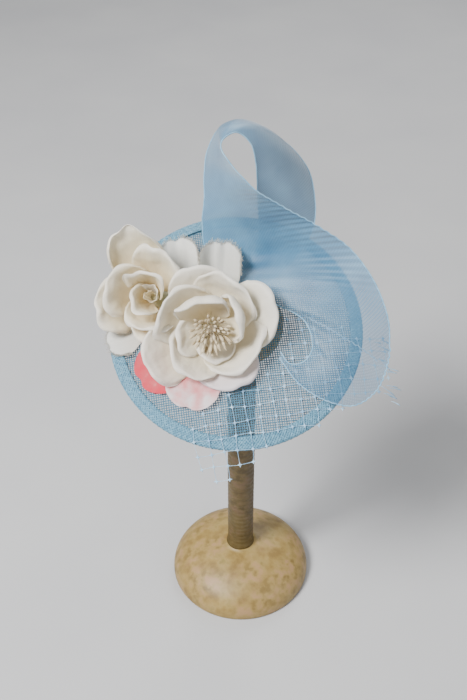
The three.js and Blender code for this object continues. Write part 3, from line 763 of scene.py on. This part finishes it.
def build_veil():
    links, spots = set(), set()
    for j, first, last in VEIL_ROWS:
        for i in range(first, last + 1):
            links |= {(i, j, 0), (i, j + 1, 0), (i, j, 1), (i + 1, j, 1)}
            spots |= {(i, j), (i + 1, j), (i, j + 1), (i + 1, j + 1)}
    net = Build()
    shares = [k / VEIL_THREAD["steps"] for k in range(VEIL_THREAD["steps"] + 1)]
    for i, j, upright in sorted(links):
        path = [veil_node(i, j + s) if upright else veil_node(i + s, j) for s in shares]
        net.tube(path, VEIL_THREAD["strand"], 5)
    dots = Build()
    for i, j in sorted(spots):
        centre = veil_node(i, j)
        along = (veil_node(i + 0.2, j) - veil_node(i - 0.2, j)).normalized()
        across = (veil_node(i, j + 0.2) - veil_node(i, j - 0.2)).normalized()
        for axis in (along, across):
            arm = VEIL_THREAD["dot"] * RNG.uniform(0.85, 1.15)
            path = [centre + axis * (arm * s) for s in (-1, -0.5, 0, 0.5, 1)]
            dots.tube(path, [0.25, 0.55, 0.8, 0.55, 0.25], 6)
    border = max(last for _, _, last in VEIL_ROWS) + 1
    sag = Vector(VEIL_ENDS["sag"])
    for j in VEIL_ENDS["rows"]:
        for _ in range(VEIL_ENDS["each"]):
            base = veil_node(border - RNG.uniform(0, 0.8), j - RNG.uniform(0, 0.7))
            way = (veil_node(border + 0.5, j) - veil_node(border, j)).normalized()
            stray = (RNG.uniform(-0.3, 0.3), RNG.uniform(-0.9, 0.3), RNG.uniform(-0.5, 0.2))
            way = way + Vector(stray)
            length = RNG.uniform(*VEIL_ENDS["length"])
            path = [base + way * (length * k / 4) - sag * (k * k / 16) for k in range(5)]
            net.tube(path, [0.25, 0.3, 0.35, 0.6, 0.3], 5)
    edge = [Vector((u, v, 0)) for u, v in VEIL_EDGE]
    hem = []
    for k in range(VEIL_THREAD["hem_steps"] * (len(edge) - 1) + 1):
        spot = catmull(edge, k / VEIL_THREAD["hem_steps"])
        hem.append(veil_point(spot.x, spot.y + VEIL_THREAD["hem_wave"] * math.sin(k * 0.47)))
    net.tube(hem, VEIL_THREAD["hem"], 6)
    piece("veil_net", net.in_hat(), net.faces, NET, ["veil"])
    piece("veil_dots", dots.in_hat(), dots.faces, NET)


# Petals


def petal_width(t, root, widest):
    """Half width at a share t of the length, widest from about two thirds of it."""
    return root + (widest - root) * math.sin(min(0.74 * t, 0.5) * math.pi) ** 1.1


def rounding(s):
    """How far the tip's edge falls back at a share s of the half width."""
    return 0.42 * (1 - math.sqrt(1 - 0.98 * s * s))


def flower_frame(flower):
    lean = Euler((math.radians(flower["front"]), math.radians(flower["side"]), 0))
    return Matrix.Translation((flower["u"], flower["v"], flower["n"])) @ lean.to_matrix().to_4x4()


def edge_dense(x, power):
    """Spreads 0 to 1 so the steps grow fine towards 1."""
    return 1 - (1 - x) ** power


def petal_places():
    """The t and s of each grid point, closest together at the rim."""
    ts = [edge_dense(i / PETAL["along"], 1.6) for i in range(PETAL["along"] + 1)]
    half = PETAL["across"] // 2
    right = [edge_dense(j / half, 1.5) for j in range(half + 1)]
    return ts, [-x for x in reversed(right[1:])] + right


def rolled(grid, side, phase, ruffle):
    """The petal with its rim rolled over and its cloth ruffled, crumpled and pleated.

    Side 1 rolls back and under, -1 in and over.
    """
    ts, ss = petal_places()
    normals = grid_normals(grid)
    last, middle = len(ts) - 1, len(ss) // 2
    blend = RIM["blend"]
    to_tip = [[0.0] * len(ss) for _ in ts]
    to_side = [[0.0] * len(ss) for _ in ts]
    for j in range(len(ss)):
        for i in range(last - 1, -1, -1):
            to_tip[i][j] = to_tip[i + 1][j] + (grid[i + 1][j] - grid[i][j]).length
    for i in range(len(ts)):
        for j in range(1, middle + 1):
            to_side[i][j] = to_side[i][j - 1] + (grid[i][j] - grid[i][j - 1]).length
            k = len(ss) - 1 - j
            to_side[i][k] = to_side[i][k + 1] + (grid[i][k + 1] - grid[i][k]).length
    result = []
    for i, t in enumerate(ts):
        line = []
        for j, s in enumerate(ss):
            ahead = (grid[min(i + 1, last)][j] - grid[max(i - 1, 0)][j]).normalized()
            aside = (grid[i][min(j + 1, len(ss) - 1)] - grid[i][max(j - 1, 0)]).normalized()
            square = max(0.25, ahead.cross(aside).length)
            tip = math.exp(-to_tip[i][j] * square / blend)
            flank = math.exp(-to_side[i][j] * square / blend)
            gap = max(0.0, -blend * math.log(tip + flank))
            past_tip = (ahead - aside * ahead.dot(aside)).normalized()
            past_side = (aside - ahead * aside.dot(ahead)).normalized() * (1 if s > 0 else -1)
            out = (past_tip * tip + past_side * flank).normalized()
            turn = RIM["turn"] + RIM["vary"] * math.sin(2.6 * s + 2.1 * t + 1.7 * phase)
            radius = RIM["width"] / turn
            over = max(0.0, RIM["width"] - gap) / radius
            moved = out * (radius * (math.sin(over) - over))
            moved = moved - normals[i][j] * (side * radius * (1 - math.cos(over)))
            wave = math.sin(4.2 * s + 3 * t + phase) + 0.5 * math.sin(8.5 * s - 4 * t + 2 * phase)
            wave *= ruffle * max(0.0, 1 - gap / CRINKLE["ruffle_fade"]) ** 1.5
            rise = clamped((t - 0.3) / 0.35)
            spot = grid[i][j] + Vector((phase * 40, 0, 0))
            crumple = CRINKLE["crumple"] * field.noise(spot * 0.09)
            crumple += CRINKLE["fine_crumple"] * field.noise(spot * 0.22)
            pleat = CRINKLE["pleat"] * math.sin(13 * s + phase) * (1 - t) * min(1.0, 4 * t)
            shift = moved + normals[i][j] * (wave + crumple)
            line.append(grid[i][j] + shift * rise + normals[i][j] * pleat)
        result.append(line)
    return result


def petal_grid(petal, layer):
    """Mid-surface of a flower's petal, in the flower's frame: a profile swept round its axis."""
    fine = 120
    radius, height = [layer["radius"]], [layer["height"]]
    length = petal["length"] + RIM["width"] * 0.6
    half = 0.93 * petal["half"] + RIM["width"] * 0.55
    for k in range(1, fine + 1):
        t = (k - 0.5) / fine
        curl = petal["lip"] * max(0.0, (t - 0.6) / 0.4) ** 1.5
        cup = layer["cup"] * math.cos(1.05 * math.pi * t)
        lean = layer["open"] + petal["lean"] + layer["spread"] * t + curl + cup
        lean = math.radians(lean)
        radius.append(radius[-1] + length / fine * math.sin(lean))
        height.append(height[-1] + length / fine * math.cos(lean))

    def at(values, t):
        place = min(max(t, 0), 1) * fine
        k = min(int(place), fine - 1)
        return values[k] + (values[k + 1] - values[k]) * (place - k)

    azimuth = math.radians(petal["azimuth"])
    phase = petal["phase"]
    ts, ss = petal_places()
    grid = []
    for t in ts:
        line = []
        for s in ss:
            notch = 0.03 * math.exp(-((s - 0.15) / 0.16) ** 2)
            reach = t * (1 - t * rounding(s) - notch * t)
            r, h = at(radius, reach), at(height, reach)
            bend = r + petal["flat"] + PETAL["tuck"] * s * min(1, 3 * t)
            turn = s * petal_width(t, 0.6 * layer["radius"], half) / bend
            wave = 0.8 * t**2 * math.sin(3.1 * s + phase)
            crease = -1.1 * t * (1 - t) * math.exp(-((s + 0.05) / 0.16) ** 2)
            out = bend * math.cos(turn) - petal["flat"] + crease
            aside = bend * math.sin(turn)
            x = out * math.cos(azimuth) - aside * math.sin(azimuth)
            y = out * math.sin(azimuth) + aside * math.cos(azimuth)
            line.append(Vector((x, y, h + wave)))
        grid.append(line)
    return rolled(grid, petal["roll"], phase, layer["ruffle"])


def build_flower(flower, layers, table, material):
    place = flower_frame(flower)
    for petal in rows_of(table, PETAL_COLUMNS):
        grid = petal_grid(petal, layers[petal["layer"]])
        points, faces, uvs = shell(grid, PETAL["wall"])
        world = [to_world(place @ p) for p in points]
        # The bloom's lowest petal takes the lilac copy, greyed partly with painted shade.
        skin = LILAC_AND_SHADE if petal["name"] == "bloom_outer_low" else material
        obj = piece(petal["name"] + "_silk", world, faces, skin, [petal["name"]], uvs)


def build_calyx(flower, layers, node):
    """Wrapped cloth cone from the saucer up to the petals' roots."""
    place = flower_frame(flower)
    foot = layers["outer"]["radius"] + layers["outer"]["height"] - 1
    top = layers["inner"]["height"] + 1
    tip = layers["inner"]["radius"] - 2
    cone = Build()
    sides, rings = 40, []
    # The first ring, with no height, is the one set down on the saucer.
    for h in (None, -6, -2, 0, top * 0.4, top * 0.8, top):
        ring = []
        for k in range(sides):
            angle = 2 * math.pi * k / sides
            ridge = 1 + 0.02 * math.sin(8 * angle)
            level = 0 if h is None else h
            r = foot if level <= 0 else foot + (tip - foot) * level / top
            x, y = r * ridge * math.cos(angle), r * ridge * math.sin(angle)
            local = place @ Vector((x, y, level))
            floor = saucer_height(local.x, local.y) + SAUCER["wall"] / 2
            if h is None:
                local.z = floor
            ring.append(Vector((local.x, local.y, max(local.z, floor))))
        rings.append(ring)
    cone.loft(rings)
    piece(node + "_wrap", cone.in_hat(), cone.faces, CALYX, [node])


def build_heart():
    """A rolled strip of silk in the middle of the rose."""
    place = flower_frame(ROSE)
    base = ROSE_LAYERS["inner"]["height"]
    steps, rise = HEART["steps"], HEART["rise"]
    grid = []
    for i in range(steps + 1):
        share = i / steps
        angle = math.radians(HEART["turn"] * share + HEART["start"])
        tall = HEART["tall"] + 4 * math.sin(2.2 * angle) + 4 * share
        line = []
        for j in range(rise + 1):
            t = j / rise
            r = 2.2 + 2.6 * share + (1.0 + 3.4 * share) * t + 4.5 * share * max(0.0, t - 0.8)
            r += 0.5 * t * math.sin(7 * angle)
            line.append(Vector((r * math.cos(angle), r * math.sin(angle), base + tall * t)))
        grid.append(line)
    points, faces, uvs = shell(grid, PETAL["wall"])
    uvs = [(a, 0.25 + 0.7 * b) for a, b in uvs]
    world = [to_world(place @ p) for p in points]
    obj = piece("rose_heart_silk", world, faces, ROSE_SILK, uvs=uvs)


def build_stamens():
    """Stalks that end in drops, spread evenly about the bloom's axis and sagging forward."""
    place = flower_frame(BLOOM)
    base = BLOOM_LAYERS["inner"]["height"] + 1.3
    bundle = Build()
    count, steps = STAMENS["count"], STAMENS["steps"]
    golden = math.pi * (3 - math.sqrt(5))
    for k in range(count):
        share = math.sqrt((k + 0.5) / count)
        lean = math.radians(STAMENS["lean"] * share)
        azimuth = k * golden + RNG.uniform(-0.2, 0.2)
        length = STAMENS["length"] - 4 * share + RNG.uniform(-3.0, 2.0)
        sag = RNG.uniform(0.2, 0.4) * length
        path, radii = [], []
        for i in range(steps + 1):
            t = i / steps
            tilt = lean * (0.55 + 0.45 * t)
            r = 1.0 + 3.2 * share + length * t * math.sin(tilt)
            h = base + length * t * math.cos(tilt)
            spot = place @ Vector((r * math.cos(azimuth), r * math.sin(azimuth), h))
            path.append(spot - Vector((0, sag * t * t, 0)))
            drop = max(0.0, (t - STAMEN_DROP["from"]) / STAMEN_DROP["share"]) ** 1.25
            radii.append(STAMENS["stalk"] + STAMEN_DROP["radius"] * math.sin(math.pi * drop))
        radii[-1] = STAMEN_DROP["end"]
        bundle.tube(path, radii, 7)
    button = ((5.2, base), (5.0, base + 2), (3.8, base + 4), (1.6, base + 5.2))
    bundle.loft([[place @ p for p in circle(r, h, 20)] for r, h in button])
    nodes = ["bloom_stamens"]
    piece("bloom_stamen_threads", bundle.in_hat(), bundle.faces, STAMEN, nodes)


def loose_grid(petal):
    """Mid-surface of a petal that lies on the saucer."""
    heading = math.radians(petal["heading"])
    phase = RNG.uniform(0, 6.28)
    grid = []
    ts, ss = petal_places()
    for t in ts:
        line = []
        for s in ss:
            notch = 0.05 * math.exp(-((s - 0.1) / 0.2) ** 2)
            along = petal["length"] * t * (1 - t * rounding(s) - notch * t)
            across = s * petal_width(t, petal["half"] / 4, 0.95 * petal["half"])
            u = petal["u"] + along * math.cos(heading) - across * math.sin(heading)
            v = petal["v"] + along * math.sin(heading) + across * math.cos(heading)
            rise = (petal["tip_lift"] - petal["root_lift"]) * t**1.5
            wave = 0.5 * t * (1 + math.sin(5 * s + phase))
            wave += 0.3 * t * (1 + math.sin(11 * s + phase))
            lift = petal["root_lift"] + rise + petal["cup"] * (t * s * s + 0.6 * wave)
            line.append(Vector((u, v, saucer_height(u, v) + SAUCER["wall"] / 2 + lift)))
        grid.append(line)
    return grid


def fray(petal, grid):
    """Loose threads along the torn outer edge of a petal."""
    threads = Build()
    edge = [(grid[-1][j], grid[-1][j] - grid[-3][j]) for j in range(len(grid[0]))]
    for i in range(len(grid) // 2, len(grid)):
        edge.append((grid[i][0], grid[i][0] - grid[i][2]))
        edge.append((grid[i][-1], grid[i][-1] - grid[i][-3]))
    for point, out in edge:
        for _ in range(5):
            stray = (RNG.uniform(-0.5, 0.5), RNG.uniform(-0.5, 0.5), RNG.uniform(-0.2, 0.4))
            way = out.normalized() + Vector(stray)
            length = RNG.uniform(1.2, 4.0)
            start = point - out.normalized() * 0.6
            start = start + Vector((RNG.uniform(-0.8, 0.8), RNG.uniform(-0.8, 0.8), 0))
            sag = Vector((0, 0, RNG.uniform(-0.5, 0.6)))
            path = [start + way * (length * s) + sag * (s * s) for s in (0, 0.5, 1)]
            threads.tube(path, 0.13, 3)
    piece(petal["name"] + "_fray", threads.in_hat(), threads.faces, RAW_SILK)


def build_loose():
    skins = {"pink_petal_left": CORAL, "pink_petal_front": BLUSH}
    for petal in rows_of(LOOSE_PETALS, LOOSE_COLUMNS):
        grid = loose_grid(petal)
        points, faces, uvs = shell(grid, PETAL["wall"])
        skin = skins.get(petal["name"], RAW_SILK)
        world = [to_world(p) for p in points]
        slot, nodes = petal["slot"], [petal["name"]]
        obj = piece(petal["name"] + "_silk", world, faces, skin, nodes, uvs)
        if petal["slot"] == "frayed":
            fray(petal, grid)


# Stand


def turned(profile, sides=96):
    body = Build()
    body.loft([circle(radius, height, sides) for radius, height in profile])
    return body


def knob_centre():
    """Height of the knob's centre, just clear of the saucer's underside."""
    tilt = math.radians(HAT["tilt"])
    clear = SAUCER["wall"] / 2
    z = HAT["z"]
    for _ in range(8):
        v = -HAT["y"] * math.cos(tilt) + (z - HAT["z"]) * math.sin(tilt)
        touch = saucer_height(-HAT["x"], v) - clear - BINDING["gap"] - KNOB["radius"]
        z = HAT["z"] + (touch - HAT["y"] * math.sin(tilt)) / math.cos(tilt)
    return z


def build_stand():
    base, skirt, high = STAND["base_radius"], STAND["skirt"], STAND["base_height"]
    profile = [(base - 2.5, 0), (base - 0.8, 0.6), (base, 2.4), (base, skirt)]
    for k in range(1, 22):
        angle = math.pi / 2 * k / 24
        profile.append((base * math.cos(angle), skirt + (high - skirt) * math.sin(angle)))
    profile.append((STAND["post_radius"] + 1, high))
    dome = turned(profile)
    piece("stand_dome", dome.in_row(), dome.faces, PRINT, ["stand_base"])
    centre = knob_centre()
    low, top = high, centre - KNOB["radius"] * KNOB["cut"]
    post = Build()
    sides, steps = POST_WRAP["sides"], POST_WRAP["steps"]
    rings = []
    for i in range(steps + 1):
        z = low + (top - low) * i / steps
        flare = POST_WRAP["flare"] * math.exp(-(z - low) / POST_WRAP["flare_height"])
        ring = []
        for k in range(sides):
            angle = 2 * math.pi * k / sides
            lap = (z / POST_WRAP["pitch"] + k / sides) % 1.0
            swell = POST_WRAP["lap"] * lap**0.5 * min(1.0, (1 - lap) * 8)
            r = STAND["post_radius"] - 0.5 + swell + flare
            ring.append(Vector((r * math.cos(angle), r * math.sin(angle), z)))
        rings.append(ring)
    post.loft(rings)
    piece("stand_column", post.in_row(), post.faces, WRAP, ["stand_post"])
    start = math.asin(-KNOB["cut"])
    ball = []
    for k in range(KNOB["rings"]):
        angle = start + (math.pi / 2 - start) * k / KNOB["rings"]
        height = centre + KNOB["radius"] * math.sin(angle)
        ball.append((KNOB["radius"] * math.cos(angle), height))
    ball.append((0.5, centre + KNOB["radius"]))
    knob = turned(ball)
    piece("stand_ball", knob.in_row(), knob.faces, PRINT, ["stand_knob"])


# Camera, light and floor


def aimed(obj, target):
    obj.rotation_euler = (Vector(target) - obj.location).to_track_quat("-Z", "Y").to_euler()


def build_stage():
    camera = bpy.data.cameras.new("camera")
    eye = placed("camera", camera)
    eye.location = CAMERA["place"]
    eye.rotation_euler = (math.radians(90 - CAMERA["down"]), 0, 0)
    camera.sensor_width = CAMERA["sensor"]
    camera.lens = CAMERA["focal"] * CAMERA["sensor"]
    camera.clip_start = 0.01
    bpy.context.scene.camera = eye

    floor = bpy.data.meshes.new("floor")
    corners = [(-1, -1), (1, -1), (1, 1), (-1, 1)]
    floor.from_pydata([(FLOOR_HALF * x, FLOOR_HALF * y, 0) for x, y in corners], [], [(0, 1, 2, 3)])
    floor.materials.append(floor_paint("floor_paint"))
    placed("floor", floor)

    for name, place, size, power in LIGHTS:
        lamp = bpy.data.lights.new(name, "AREA")
        lamp.size = size
        lamp.energy = power
        holder = placed(name, lamp)
        holder.location = place
        aimed(holder, LIT_POINT)

    world = bpy.data.worlds.new("studio")
    world.use_nodes = True
    sky = world.node_tree.nodes["Background"]
    sky.inputs["Color"].default_value = SKY["colour"]
    sky.inputs["Strength"].default_value = SKY["strength"]
    bpy.context.scene.world = world


build_stage()
build_stand()
build_saucer()
build_binding()
build_crin()
build_veil()
build_loose()
build_calyx(BLOOM, BLOOM_LAYERS, "bloom_calyx")
build_calyx(ROSE, ROSE_LAYERS, "rose_calyx")
build_stamens()
build_flower(BLOOM, BLOOM_LAYERS, BLOOM_PETALS, IVORY)
build_flower(ROSE, ROSE_LAYERS, ROSE_PETALS, ROSE_SILK)
build_heart()

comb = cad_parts["hair_comb"]
comb.data.materials.clear()
comb.data.materials.append(PLASTIC)
